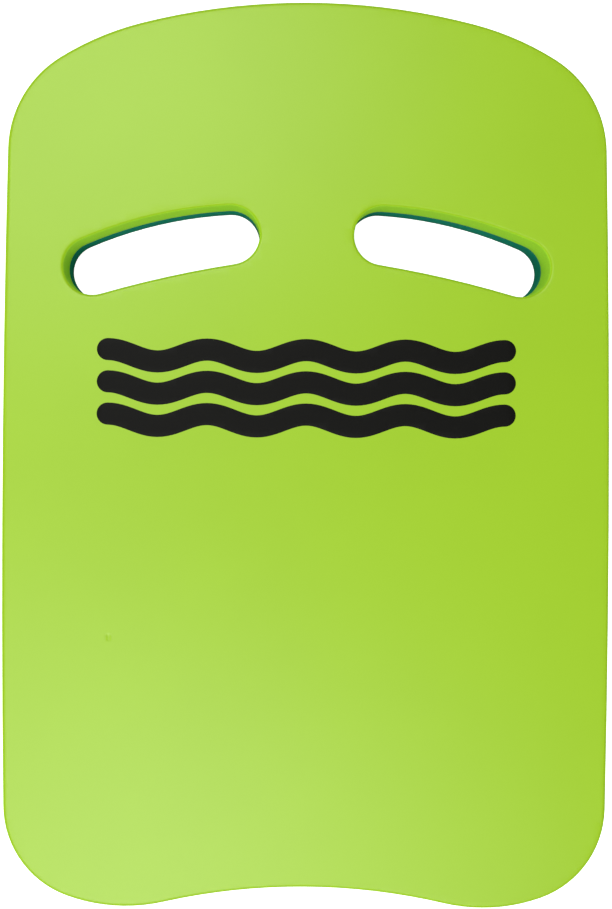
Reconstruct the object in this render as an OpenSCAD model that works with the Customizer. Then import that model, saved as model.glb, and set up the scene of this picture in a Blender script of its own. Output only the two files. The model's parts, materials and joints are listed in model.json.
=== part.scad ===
// Kickboard float: two foam sheets bonded face to face and cut with two hand slots,
// with a mark of three wavy bars printed on the upper face.
// X runs across the board, +Y points to the nose and Z is the thickness.
// The origin is under the middle of the board, on the face that it lies on.

/* [Board] */
// Width at the widest point
board_w = 302; // [280:1:340]
// Length from the nose to the tips of the tail
board_l = 450; // [420:1:520]
// Thickness of both sheets together
board_t = 35; // [25:1:45]
// Height of the bond between the sheets, from the underside
bond_z = 15; // [8:0.5:20]
// Thickness of the adhesive film
bond_t = 0.3; // [0.2:0.1:0.6]

/* [Nose and sides] */
// Radius of the nose
nose_r = 333; // [260:1:400]
// Angle that the nose arc covers on each side of the middle
nose_angle = 14.4; // [8:0.1:18]
// Radius between the nose and the shoulder
cheek_r = 144; // [110:1:180]
// Radius of the shoulder
shoulder_r = 55; // [35:1:70]
// Radius of the long, almost straight side
side_r = 8400; // [4000:100:20000]
// How far behind the middle the board is widest
widest_back = 30; // [0:1:60]

/* [Tail] */
// Radius of the corner where the side meets the tail
corner_r = 48; // [30:1:60]
// Radius of the lobe on each side of the hollow
lobe_r = 86; // [70:1:110]
// Radius of the hollow in the middle of the tail
hollow_r = 313; // [220:1:360]
// Depth of the hollow
hollow_depth = 10; // [6:0.5:14]

/* [Hand slots] */
// Inner end of the slot, from the middle of the board
slot_inner_x = 38.2; // [32:0.1:44]
// Inner end of the slot, ahead of the middle of the board
slot_inner_y = 109.2; // [100:0.1:118]
// Radius of the inner end
slot_inner_r = 14.7; // [12:0.1:17]
// Outer end of the slot, from the middle of the board
slot_outer_x = 106.7; // [98:0.1:114]
// Outer end of the slot, ahead of the middle of the board
slot_outer_y = 93.3; // [86:0.1:100]
// Radius of the outer end
slot_outer_r = 14.3; // [12:0.1:17]
// Radius of the slot's edge on the nose side
slot_front_r = 216; // [120:1:400]
// Radius of the slot's edge on the tail side
slot_rear_r = 545; // [200:1:900]

/* [Printed mark] */
// Width of the mark
mark_w = 208; // [150:1:220]
// Middle of the mark, ahead of the middle of the board
mark_y = 33; // [0:1:45]
// Distance between the middle lines of its three bars
mark_pitch = 16; // [15:0.5:18]
// Thickness of each bar
bar_t = 11; // [5:0.5:12]
// Height of the waves above and below a bar's middle line
wave_h = 3; // [1:0.1:4]
// Number of whole waves along a bar
wave_count = 4; // [2:1:5]
// Thickness of the ink
ink_t = 0.1; // [0.1:0.1:0.3]

/* [Hidden] */
// The farthest that a chord of an arc lies from the true arc
arc_error = 0.04;
// Points along one whole wave of the mark
wave_points = 24;
// How far the slot cutters run past the faces they cut
overrun = 1;
// Undersides of the bond film and of the upper sheet
bond_low = bond_z - bond_t / 2;
bond_high = bond_z + bond_t / 2;
// Half the length of a wave bar's middle line
bar_reach = (mark_w - bar_t) / 2;

// Direction from one point to another
function bearing(from, to) = atan2(to.y - from.y, to.x - from.x);

// Point at a distance and direction from a centre
function polar(centre, r, angle) = centre + r * [cos(angle), sin(angle)];

// Crossing of two circles that lies left of the way from the first centre to the second
function crossing(c1, r1, c2, r2) =
    let (gap = norm(c2 - c1))
    let (along = (gap ^ 2 + r1 ^ 2 - r2 ^ 2) / (2 * gap))
    let (aside = sqrt(r1 ^ 2 - along ^ 2))
    let (way = (c2 - c1) / gap)
    c1 + along * way + aside * [-way.y, way.x];

// Number of chords that keep an arc within arc_error
function chords(r, turn) = ceil(abs(turn) / (2 * acos(1 - arc_error / r)));

// Points along an arc, without its last one, which starts the next arc
function arc(centre, r, a1, a2) =
    let (n = chords(r, a2 - a1))
    [for (i = [0:n - 1]) polar(centre, r, a1 + (a2 - a1) * i / n)];

// Right half of the outline, from the nose to the middle of the hollow
function half_outline() =
    let (nose = [0, board_l / 2 - nose_r])
    let (cheek = polar(nose, nose_r - cheek_r, 90 - nose_angle))
    let (side = [board_w / 2 - side_r, -widest_back])
    let (shoulder = crossing(side, side_r - shoulder_r, cheek, cheek_r - shoulder_r))
    let (hollow = [0, hollow_depth - board_l / 2 - hollow_r])
    let (lobe_y = lobe_r - board_l / 2)
    let (lobe = [sqrt((hollow_r + lobe_r) ^ 2 - (lobe_y - hollow.y) ^ 2), lobe_y])
    let (corner = crossing(lobe, lobe_r - corner_r, side, side_r - corner_r))
    concat(
        arc(nose, nose_r, 90, 90 - nose_angle),
        arc(cheek, cheek_r, 90 - nose_angle, bearing(cheek, shoulder)),
        arc(shoulder, shoulder_r, bearing(cheek, shoulder), bearing(side, shoulder)),
        arc(side, side_r, bearing(side, shoulder), bearing(side, corner)),
        arc(corner, corner_r, bearing(side, corner), bearing(lobe, corner)),
        arc(lobe, lobe_r, bearing(lobe, corner), bearing(lobe, hollow)),
        arc(hollow, hollow_r, bearing(hollow, lobe), 90),
        [[0, hollow_depth - board_l / 2]]
    );

// Outline of the right-hand slot
function slot_outline() =
    let (inner = [slot_inner_x, slot_inner_y])
    let (outer = [slot_outer_x, slot_outer_y])
    let (front = crossing(outer, slot_front_r - slot_outer_r, inner, slot_front_r - slot_inner_r))
    let (rear = crossing(outer, slot_rear_r + slot_outer_r, inner, slot_rear_r + slot_inner_r))
    concat(
        arc(front, slot_front_r, bearing(front, inner), bearing(front, outer)),
        arc(outer, slot_outer_r, bearing(front, outer), bearing(outer, rear)),
        arc(rear, slot_rear_r, bearing(rear, outer), bearing(rear, inner)),
        arc(inner, slot_inner_r, bearing(inner, rear) + 360, bearing(front, inner))
    );

// The same points on the left, in the opposite order
function mirrored(points) = [for (i = [len(points) - 1:-1:0]) [-points[i].x, points[i].y]];

// Points of the left half that the right half doesn't already hold
function off_middle(points) = [for (p = points) if (abs(p.x) > arc_error) p];

// Middle line of a wave bar and its slope. The bar ends on level crests or troughs.
function wave_y(x) = wave_h * cos(180 * wave_count * x / bar_reach);
function wave_slope(x) = -wave_h * PI * wave_count / bar_reach * sin(180 * wave_count * x / bar_reach);

// Edge of a wave bar, at a distance from its middle line
function wave_edge(distance) =
    let (n = wave_points * wave_count)
    [for (i = [0:n])
        let (x = bar_reach * (2 * i / n - 1))
        [x, wave_y(x)] + distance * [-wave_slope(x), 1] / norm([wave_slope(x), 1])];

// Round end of a wave bar, between its two edges
function bar_end() =
    let (points = arc([bar_reach, wave_y(bar_reach)], bar_t / 2, 90, -90))
    [for (i = [1:len(points) - 1]) points[i]];

// Outline of one wave bar: its upper edge, right end, lower edge and left end
function bar_outline() =
    concat(
        wave_edge(bar_t / 2),
        bar_end(),
        [for (p = wave_edge(-bar_t / 2)) [-p.x, p.y]],
        mirrored(bar_end())
    );

// Outline of the board
module board_outline() {
    half = half_outline();
    polygon(concat(half, off_middle(mirrored(half))));
}

// Both hand slots, cut from one height to another
module slots(low, high) {
    for (side = [0, 1])
        mirror([side, 0, 0])
            translate([0, 0, low])
                linear_extrude(high - low)
                    polygon(slot_outline());
}

// One layer of the board between two heights
module layer(low, high) {
    difference() {
        translate([0, 0, low])
            linear_extrude(high - low)
                board_outline();
        slots(low - overrun, high + overrun);
    }
}

// Lower foam sheet, which the board lies on
module bottom_foam() {
    color([0.05, 0.42, 0.40])
        layer(0, bond_low);
}

// Adhesive film between the sheets
module bond_film() {
    color([0.72, 0.82, 0.52])
        layer(bond_low, bond_high);
}

// Upper foam sheet
module top_foam() {
    color([0.66, 0.85, 0.28])
        layer(bond_high, board_t);
}

// Ink of one bar of the mark, a number of places ahead of the middle bar
module print_bar(place) {
    color([0.11, 0.11, 0.10])
        translate([0, mark_y + mark_pitch * place, board_t])
            linear_extrude(ink_t)
                polygon(bar_outline());
}

bottom_foam();
bond_film();
top_foam();
print_bar(1);  // print_bar_front
print_bar(0);  // print_bar_middle
print_bar(-1);  // print_bar_rear
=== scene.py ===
import bpy
import bmesh
import json
from math import cos, radians, sin
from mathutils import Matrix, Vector


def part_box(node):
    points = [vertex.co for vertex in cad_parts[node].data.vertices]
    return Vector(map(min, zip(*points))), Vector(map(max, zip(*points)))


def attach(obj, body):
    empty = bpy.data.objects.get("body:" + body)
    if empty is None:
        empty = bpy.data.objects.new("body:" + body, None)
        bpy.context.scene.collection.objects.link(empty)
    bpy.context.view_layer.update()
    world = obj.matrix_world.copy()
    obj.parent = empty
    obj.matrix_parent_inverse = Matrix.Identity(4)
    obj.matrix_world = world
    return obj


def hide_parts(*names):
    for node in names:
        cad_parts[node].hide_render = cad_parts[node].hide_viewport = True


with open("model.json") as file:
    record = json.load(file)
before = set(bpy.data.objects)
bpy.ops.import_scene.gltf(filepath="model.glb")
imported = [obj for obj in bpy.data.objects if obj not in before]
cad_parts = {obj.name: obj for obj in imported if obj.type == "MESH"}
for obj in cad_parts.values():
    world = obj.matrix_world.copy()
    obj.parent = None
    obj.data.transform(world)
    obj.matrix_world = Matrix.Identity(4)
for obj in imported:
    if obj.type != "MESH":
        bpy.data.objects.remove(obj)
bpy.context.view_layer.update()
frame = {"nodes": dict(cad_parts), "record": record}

# ---------------------------------------------------------------- sizes, in metres
MM = 0.001
table_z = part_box("bottom_foam")[0].z
top_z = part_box("top_foam")[1].z
slot_boxes = [opening["box_m"] for opening in frame["record"]["physics"]["openings"]]
print_bars = sorted(name for name in frame["nodes"] if name.startswith("print_bar"))

EDGE_ROUND = 2.0 * MM        # rounding of the board's outer edges
SLOT_ROUND = 1.6 * MM        # rounding of the slots' edges
BOND_ROUND = 0.3 * MM        # softened corner of each sheet where they meet
INK_ROUND = 0.04 * MM        # rounded shoulder of the ink
WIDE_STEPS = 6               # strips of mesh round the edges of the board and of the slots
NARROW_STEPS = 2             # strips of mesh round the corners at the bond and the ink's shoulder
SLOT_MARGIN = 12 * MM        # an edge this near a slot's opening belongs to the slot
WALL_HOLLOW = 0.25 * MM      # how far the cut walls draw in at their middle
GLUE_INSET = 0.25 * MM       # how far the glue line lies behind the walls
FACE_GRID = 4.0 * MM         # spacing of the cuts across a face
FACE_SAG = 0.16 * MM         # deepest hollow of the faces' slow waves
FACE_WAVE = 90 * MM          # size of those waves

# A small dent that handling has left in the upper face
DENT_PLACE = (-97.5 * MM, -91.0 * MM)
DENT_LENGTH = 2.0 * MM       # of its flat bottom, along the board
DENT_HALF_WIDTH = 0.3 * MM   # of its flat bottom, across the board
DENT_REACH = 1.3 * MM        # of the slope round its bottom
DENT_DEPTH = 0.3 * MM
DENT_PATCH = 1.5 * FACE_GRID # of the patch of finer mesh that holds it
DENT_CUTS = 8                # extra cuts across each square of that patch

# How alike two places or directions are, to count as the same
SAME_POINT = 0.002 * MM
SAME_HEIGHT = 0.01 * MM
SAME_PLANE = radians(0.05)
LEVEL = 0.9999               # least upward part of a flat face's normal
UPRIGHT = 0.01               # greatest upward part of a cut wall's normal
CREASE = radians(50)         # an edge that turns further than this is shaded as a corner

# ---------------------------------------------------------------- colours
LIME_SKIN = (0.322, 0.565, 0.007)
# Lime cut walls: paler than the skin where cut, and painted lighter still as painted light, standing in
# for the light that glows through the foam and bounces in the slots
LIME_CUT_WITH_PAINTED_LIGHT = (0.47, 0.84, 0.045)
TEAL_SKIN = (0.008, 0.20, 0.18)
TEAL_CUT = (0.003, 0.22, 0.165)
GLUE_COLOR = (0.16, 0.42, 0.12)
INK_COLOR = (0.0038, 0.0038, 0.0028)
TABLE_COLOR = (0.8, 0.8, 0.8, 1)
WHITE = (1, 1, 1, 1)

# ---------------------------------------------------------------- camera
CAMERA_HEIGHT = 0.560        # above the printed face
CAMERA_X, CAMERA_Y = -0.0245, 0.0330
CAMERA_LENS, CAMERA_LONG_SIDE = 44.7, 36.0
CAMERA_ROLL = radians(0.3)
SHIFT_X, SHIFT_Y = 0.054, -0.073


def add_camera():
    """A camera over the board that looks straight down."""
    place = (CAMERA_X, CAMERA_Y, top_z + CAMERA_HEIGHT)
    bpy.ops.object.camera_add(location=place, rotation=(0, 0, CAMERA_ROLL))
    camera = bpy.context.active_object
    camera.data.lens = CAMERA_LENS
    camera.data.sensor_width = CAMERA_LONG_SIDE
    camera.data.shift_x = SHIFT_X
    camera.data.shift_y = SHIFT_Y
    bpy.context.scene.camera = camera


# ---------------------------------------------------------------- materials
GRAIN = 1400.0               # grains of the foam's skin to the metre
CELLS = 1300.0               # cells of the cut foam to the metre


class Wire:
    """An output of a node. Sums, differences and products of wires add Math nodes."""

    def __init__(self, paint, socket):
        self.paint = paint
        self.socket = socket

    def maths(self, operation, first, second):
        return self.paint.add("ShaderNodeMath", {"operation": operation}, {0: first, 1: second})

    def __add__(self, other):
        return self.maths("ADD", self, other)

    def __sub__(self, other):
        return self.maths("SUBTRACT", self, other)

    def __mul__(self, other):
        return self.maths("MULTIPLY", self, other)

    def __radd__(self, other):
        return self.maths("ADD", other, self)

    def __rsub__(self, other):
        return self.maths("SUBTRACT", other, self)

    def __rmul__(self, other):
        return self.maths("MULTIPLY", other, self)


class Paint:
    """A material and the nodes that make up its surface."""

    def __init__(self, name):
        self.material = bpy.data.materials.new(name)
        self.material.use_nodes = True
        self.tree = self.material.node_tree
        self.tree.nodes.clear()

    def add(self, kind, settings, inputs, output=0):
        """A node of a type, with its settings and the values or wires of its inputs."""
        node = self.tree.nodes.new(kind)
        for name, value in settings.items():
            setattr(node, name, value)
        for socket, value in inputs.items():
            if isinstance(value, Wire):
                self.tree.links.new(value.socket, node.inputs[socket])
            else:
                node.inputs[socket].default_value = value
        return Wire(self, node.outputs[output])

    def stretched(self, stretch):
        """Places on the piece, drawn closer together along some of the axes."""
        place = self.add("ShaderNodeTexCoord", {}, {}, "Object")
        return self.add("ShaderNodeVectorMath", {"operation": "MULTIPLY"}, {0: place, 1: stretch})

    def noise(self, scale, detail=2.0, stretch=(1, 1, 1)):
        """Smooth noise with a given number of features to the metre."""
        inputs = {"Vector": self.stretched(stretch), "Scale": scale, "Detail": detail}
        return self.add("ShaderNodeTexNoise", {}, inputs, "Fac")

    def cells(self, scale):
        """Distance from the middles of round cells, with a given number of cells to the metre."""
        inputs = {"Vector": self.stretched((1, 1, 1)), "Scale": scale}
        return self.add("ShaderNodeTexVoronoi", {}, inputs, "Distance")

    def ramp(self, wire, low, high):
        """0 below low and 1 above high, smooth between."""
        inputs = {"Value": wire, "From Min": low, "From Max": high}
        return self.add("ShaderNodeMapRange", {"interpolation_type": "SMOOTHSTEP"}, inputs, "Result")

    def mix(self, amount, first, second):
        """A colour between two colours."""
        inputs = {"Factor": amount, "A": first, "B": second}
        return self.add("ShaderNodeMix", {"data_type": "RGBA"}, inputs, 2)

    def bump(self, height, depth, over=None):
        """Relief of a depth, in metres, over another relief."""
        inputs = {"Height": height, "Distance": depth, "Strength": 1.0}
        if over:
            inputs["Normal"] = over
        return self.add("ShaderNodeBump", {}, inputs, "Normal")

    def coat(self, color, roughness, specular, relief=None, glow=0.0):
        """One finish. Its colour, roughness and relief are wires or constants."""
        inputs = {"Base Color": color, "Roughness": roughness, "Specular IOR Level": specular}
        if relief:
            inputs["Normal"] = relief
        if glow:
            inputs["Emission Color"] = WHITE
            inputs["Emission Strength"] = glow
        return self.add("ShaderNodeBsdfPrincipled", {}, inputs, "BSDF")

    def covered(self, amount, under, over):
        """One finish that gives way to another."""
        return self.add("ShaderNodeMixShader", {}, {"Fac": amount, 1: under, 2: over})

    def show(self, surface):
        """The material, with a finish as its surface."""
        end = self.tree.nodes.new("ShaderNodeOutputMaterial")
        self.tree.links.new(surface.socket, end.inputs["Surface"])
        return self.material


def tint(color, factor):
    """A darker or paler shade of a colour, as the sockets take it."""
    return (*(channel * factor for channel in color), 1)


def foam(name, skin_color, cut_and_painted_light_color):
    """Closed-cell foam: a smooth satin skin on the faces, and fine matte cells where it is cut. The lime
    cut colour is given lighter than the foam, as painted light in the slots.
    """
    paint = Paint(name)
    cut = paint.add("ShaderNodeAttribute", {"attribute_name": "cut"}, {}, "Fac")

    clouds = paint.ramp(paint.noise(14.0, detail=3.0), 0.3, 0.7)
    grain = paint.noise(GRAIN)
    skin = paint.coat(
        paint.mix(clouds, tint(skin_color, 0.988), tint(skin_color, 1.012)),
        roughness=0.34 + 0.02 * grain,
        specular=0.5,
        relief=paint.bump(grain, 0.004 * MM),
    )

    cells = paint.cells(CELLS)
    saw_marks = paint.noise(40.0, detail=3.0, stretch=(1, 1, 24))
    rim = 1 - paint.ramp(cut, 0.1, 0.7)
    # The cut walls' colour, which holds the painted light of the given cut colour
    wall_and_painted_light_color = paint.mix(paint.ramp(cells, 0.1, 0.8), tint(cut_and_painted_light_color, 0.94), tint(cut_and_painted_light_color, 1.04))
    wall_and_painted_light_color = paint.mix(0.16 * saw_marks, wall_and_painted_light_color, tint(cut_and_painted_light_color, 0.8))
    wall_and_painted_light_color = paint.mix(rim, wall_and_painted_light_color, tint(skin_color, 0.95))
    walls = paint.coat(
        wall_and_painted_light_color,
        roughness=0.88 + 0.1 * cells,
        specular=0.12,
        relief=paint.bump(cells, 0.06 * MM, over=paint.bump(saw_marks, 0.08 * MM)),
    )
    return paint.show(paint.covered(paint.ramp(cut, 0.01, 0.2), skin, walls))


def ink(name, color):
    """Screen-printing ink: a thin, even, matte film that follows the grain of the foam."""
    paint = Paint(name)
    grain = paint.noise(GRAIN)
    thin_spots = paint.ramp(paint.noise(260.0, detail=3.0), 0.55, 0.85)
    film = paint.coat(
        paint.mix(thin_spots, tint(color, 1.0), tint(color, 1.5)),
        roughness=0.48 + 0.1 * thin_spots,
        specular=0.1,
        relief=paint.bump(grain, 0.006 * MM),
    )
    return paint.show(film)


def adhesive(name, color):
    """Contact adhesive: a thin rubbery line, uneven in colour where it has squeezed out."""
    paint = Paint(name)
    streaks = paint.noise(90.0, detail=3.0)
    line = paint.coat(
        paint.mix(streaks, tint(color, 0.8), tint(color, 1.15)),
        roughness=0.45 + 0.3 * streaks,
        specular=0.2,
        relief=paint.bump(streaks, 0.05 * MM),
    )
    return paint.show(line)


# ---------------------------------------------------------------- light and floor
SOFTBOX_SIDE = 1.0
SOFTBOX_DISTANCE = 1.7       # from the middle of the board
# Softboxes: degrees round from +X, degrees above the table, power in watts
SOFTBOXES = {
    "tail_softbox": (270, 52, 7.1),
    "tail_left_softbox": (240, 58, 9.3),
    "nose_left_softbox": (120, 64, 11.8),
}
AIR_LIGHT = 0.35             # what the air gives
AIR_SEEN = 1.0               # what it shows to the camera
TABLE_GLOW = 1.0
TABLE_SIDE = 8.0
PALE_DROP = 0.2 * MM         # how far each table top lies below the board
GREY_DROP = 0.4 * MM


def add_softbox(name, turn, rise, power):
    """A square soft light that faces the board."""
    away = Vector((cos(turn) * cos(rise), sin(turn) * cos(rise), sin(rise)))
    facing = (-away).to_track_quat("-Z", "Y").to_euler()
    bpy.ops.object.light_add(type="AREA", location=away * SOFTBOX_DISTANCE, rotation=facing)
    light = bpy.context.active_object
    light.name = name
    light.data.shape = "SQUARE"
    light.data.size = SOFTBOX_SIDE
    light.data.energy = power


def add_table(name, drop, glow=0.0):
    """A plain table top, a little below the board."""
    bpy.ops.mesh.primitive_plane_add(size=TABLE_SIDE, location=(0, 0, table_z - drop))
    table = bpy.context.active_object
    table.name = name
    paint = Paint(name)
    matte = paint.coat(TABLE_COLOR, roughness=0.8, specular=0.1, glow=glow)
    table.data.materials.append(paint.show(matte))
    return table


def studio_air():
    """White air all round, which shows whiter than the light that it gives."""
    world = bpy.data.worlds.new("studio_air")
    world.use_nodes = True
    nodes, links = world.node_tree.nodes, world.node_tree.links
    seen = nodes.new("ShaderNodeLightPath")
    strength = nodes.new("ShaderNodeMapRange")
    strength.inputs["To Min"].default_value = AIR_LIGHT
    strength.inputs["To Max"].default_value = AIR_SEEN
    links.new(seen.outputs["Is Camera Ray"], strength.inputs["Value"])
    links.new(strength.outputs["Result"], nodes["Background"].inputs["Strength"])
    nodes["Background"].inputs["Color"].default_value = WHITE
    return world


def add_studio():
    """The air, the softboxes and the table, whose pale top shows and whose grey top gives back light."""
    bpy.context.scene.world = studio_air()
    bpy.context.scene.view_settings.view_transform = "Standard"
    for name, (turn, rise, power) in SOFTBOXES.items():
        add_softbox(name, radians(turn), radians(rise), power)
    pale_table = add_table("pale_table", PALE_DROP, TABLE_GLOW)
    pale_table.visible_diffuse = False
    pale_table.visible_glossy = False
    pale_table.visible_shadow = False
    add_table("grey_table", GREY_DROP)


# ---------------------------------------------------------------- modelling tools
SELECT_MODES = {"verts": "VERT", "edges": "EDGE", "faces": "FACE"}


def edit(piece):
    """Puts one piece, and nothing else, into edit mode."""
    if bpy.context.object and bpy.context.object.mode != "OBJECT":
        bpy.ops.object.mode_set(mode="OBJECT")
    bpy.ops.object.select_all(action="DESELECT")
    piece.select_set(True)
    bpy.context.view_layer.objects.active = piece
    bpy.ops.object.mode_set(mode="EDIT")


def pick(piece, kind, test):
    """Selects only the points, edges or faces of the piece that pass a test."""
    bpy.ops.mesh.select_mode(type=SELECT_MODES[kind])
    bpy.ops.mesh.select_all(action="DESELECT")
    mesh = bmesh.from_edit_mesh(piece.data)
    for element in getattr(mesh, kind):
        if test(element):
            element.select_set(True)
    bmesh.update_edit_mesh(piece.data)


def from_node(node, name):
    """A copy of a CAD node's shape with its triangles joined into whole faces, left in edit mode."""
    piece = bpy.data.objects.new(name, frame["nodes"][node].data.copy())
    piece.data.name = name
    piece.data.materials.clear()
    bpy.context.scene.collection.objects.link(piece)
    edit(piece)
    bpy.ops.mesh.select_all(action="SELECT")
    bpy.ops.mesh.customdata_custom_splitnormals_clear()
    bpy.ops.mesh.remove_doubles(threshold=SAME_POINT)
    bpy.ops.mesh.dissolve_limited(angle_limit=SAME_PLANE)
    return piece


def is_wall(face):
    """Whether a face stands upright."""
    return abs(face.normal.z) < UPRIGHT


def at_height(z, points):
    """Whether all the points lie at a height."""
    return all(abs(point.co.z - z) < SAME_HEIGHT for point in points)


def is_rim(edge, z):
    """Whether an edge lies between a wall and the flat face at a height."""
    return at_height(z, edge.verts) and any(is_wall(face) for face in edge.link_faces)


def by_slot(point):
    """Whether a point lies on or near the edge of a hand slot."""
    for low, high in slot_boxes:
        across = low[0] - SLOT_MARGIN < point.co.x < high[0] + SLOT_MARGIN
        along = low[1] - SLOT_MARGIN < point.co.y < high[1] + SLOT_MARGIN
        if across and along:
            return True
    return False


def round_rim(piece, z, slots, radius, steps):
    """Rounds the rim of the face at a height, at the slots or at the outline."""
    pick(piece, "edges", lambda edge: is_rim(edge, z) and by_slot(edge.verts[0]) == slots)
    # Sliding would carry the rim's points along the edge that joins a slot to the outline
    bpy.ops.mesh.bevel(offset=radius, segments=steps, affect="EDGES",
                       clamp_overlap=False, loop_slide=False)


def hollow_walls(piece, low, high):
    """Draws the cut walls in a little at their middle."""
    for share in (0.25, 0.5, 0.75):
        pick(piece, "faces", is_wall)
        bpy.ops.mesh.bisect(plane_co=(0, 0, low + (high - low) * share), plane_no=(0, 0, 1))
        bpy.ops.transform.shrink_fatten(value=-WALL_HOLLOW * sin(radians(180 * share)))


def cut_grid(piece, up):
    """Cuts the flat face that looks up or down into small squares."""
    low, high = Vector(piece.bound_box[0]), Vector(piece.bound_box[6])
    for axis, direction in enumerate(((1, 0, 0), (0, 1, 0))):
        count = int((high[axis] - low[axis]) / FACE_GRID)
        for step in range(1, count):
            place = Vector(direction) * (low[axis] + (high[axis] - low[axis]) * step / count)
            pick(piece, "faces", lambda face: face.normal.z * up > LEVEL)
            bpy.ops.mesh.bisect(plane_co=place, plane_no=direction)


def press_dent(piece):
    """Presses the dent into the upper face, in a patch of finer mesh."""
    middle = Vector((*DENT_PLACE, top_z))
    pick(piece, "faces", lambda face: (face.calc_center_median() - middle).length < DENT_PATCH)
    bpy.ops.mesh.subdivide(number_cuts=DENT_CUTS)
    pick(piece, "verts", lambda point: abs(point.co.x - middle.x) < DENT_HALF_WIDTH
         and abs(point.co.y - middle.y) < DENT_LENGTH / 2 and at_height(top_z, [point]))
    bpy.ops.transform.translate(value=(0, 0, -DENT_DEPTH), use_proportional_edit=True,
                                proportional_size=DENT_REACH, proportional_edit_falloff="SMOOTH")


def split_faces(piece):
    """Splits each face of more than four sides while it is flat, so that none folds when it bends."""
    pick(piece, "faces", lambda face: len(face.verts) > 4)
    bpy.ops.mesh.quads_convert_to_tris(ngon_method="BEAUTY")


def bend_face(piece, z, up):
    """Lets the slow waves of the foam show on a face, fading out down its rounded edges."""
    split_faces(piece)
    bpy.ops.object.mode_set(mode="OBJECT")
    group = piece.vertex_groups.new(name="face")
    for vertex in piece.data.vertices:
        depth = abs(vertex.co.z - z)
        if depth < EDGE_ROUND:
            group.add([vertex.index], 1 - depth / EDGE_ROUND, "REPLACE")
    wave = piece.modifiers.new("slow_waves", "DISPLACE")
    wave.texture = slow_waves
    wave.texture_coords = "LOCAL"
    wave.direction = "Z"
    wave.mid_level = 1.0
    wave.strength = FACE_SAG * up
    wave.vertex_group = "face"
    bpy.ops.object.modifier_apply(modifier="slow_waves")
    piece.vertex_groups.clear()


def mark_cut(piece):
    """Stores how much each point belongs to a cut wall, from 0 on the skin to 1 on a wall."""
    marks = piece.data.attributes.new("cut", "FLOAT", "POINT")
    for vertex, mark in zip(piece.data.vertices, marks.data):
        mark.value = 1 - abs(vertex.normal.z)


def finish_piece(piece, material, node):
    """Gives a piece its shading and material, and puts it in its CAD node's place."""
    bpy.ops.object.mode_set(mode="OBJECT")
    bpy.ops.object.shade_smooth_by_angle(angle=CREASE)
    piece.data.materials.append(material)
    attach(piece, "root")
    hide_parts(node)


# ---------------------------------------------------------------- pieces
slow_waves = bpy.data.textures.new("slow_waves", "CLOUDS")
slow_waves.noise_scale = FACE_WAVE
slow_waves.noise_depth = 1


def make_sheet(node, name, up, material):
    """One foam sheet. up is 1 for the sheet whose open face looks up, and -1 for the other."""
    low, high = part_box(node)[0].z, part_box(node)[1].z
    face_z, bond_z = (high, low) if up > 0 else (low, high)
    piece = from_node(node, name)
    for slots, radius in ((False, EDGE_ROUND), (True, SLOT_ROUND)):
        round_rim(piece, face_z, slots, radius, WIDE_STEPS)
        round_rim(piece, bond_z, slots, BOND_ROUND, NARROW_STEPS)
    hollow_walls(piece, low, high)
    cut_grid(piece, up)
    if up > 0:
        press_dent(piece)
    bend_face(piece, face_z, up)
    mark_cut(piece)
    finish_piece(piece, material, node)


def make_glue_line(material):
    """The film of adhesive between the sheets, set back a little behind their walls."""
    piece = from_node("bond_film", "glue_line")
    pick(piece, "faces", is_wall)
    bpy.ops.transform.shrink_fatten(value=-GLUE_INSET)
    finish_piece(piece, material, "bond_film")


def make_print_bar(node, material):
    """One bar of the printed mark, which lies on the waves of the face."""
    low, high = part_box(node)[0].z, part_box(node)[1].z
    piece = from_node(node, node.replace("print", "ink"))
    pick(piece, "edges", lambda edge: is_rim(edge, high))
    bpy.ops.mesh.bevel(offset=INK_ROUND, segments=NARROW_STEPS, affect="EDGES", clamp_overlap=False)
    for up in (1, -1):
        cut_grid(piece, up)
    bend_face(piece, (low + high) / 2, 1)
    finish_piece(piece, material, node)


lime = foam("lime_foam", LIME_SKIN, LIME_CUT_WITH_PAINTED_LIGHT)
teal = foam("teal_foam", TEAL_SKIN, TEAL_CUT)
make_sheet("top_foam", "upper_sheet", 1, lime)
make_sheet("bottom_foam", "lower_sheet", -1, teal)
make_glue_line(adhesive("contact_adhesive", GLUE_COLOR))
black = ink("black_ink", INK_COLOR)
for bar in print_bars:
    make_print_bar(bar, black)

add_camera()
add_studio()
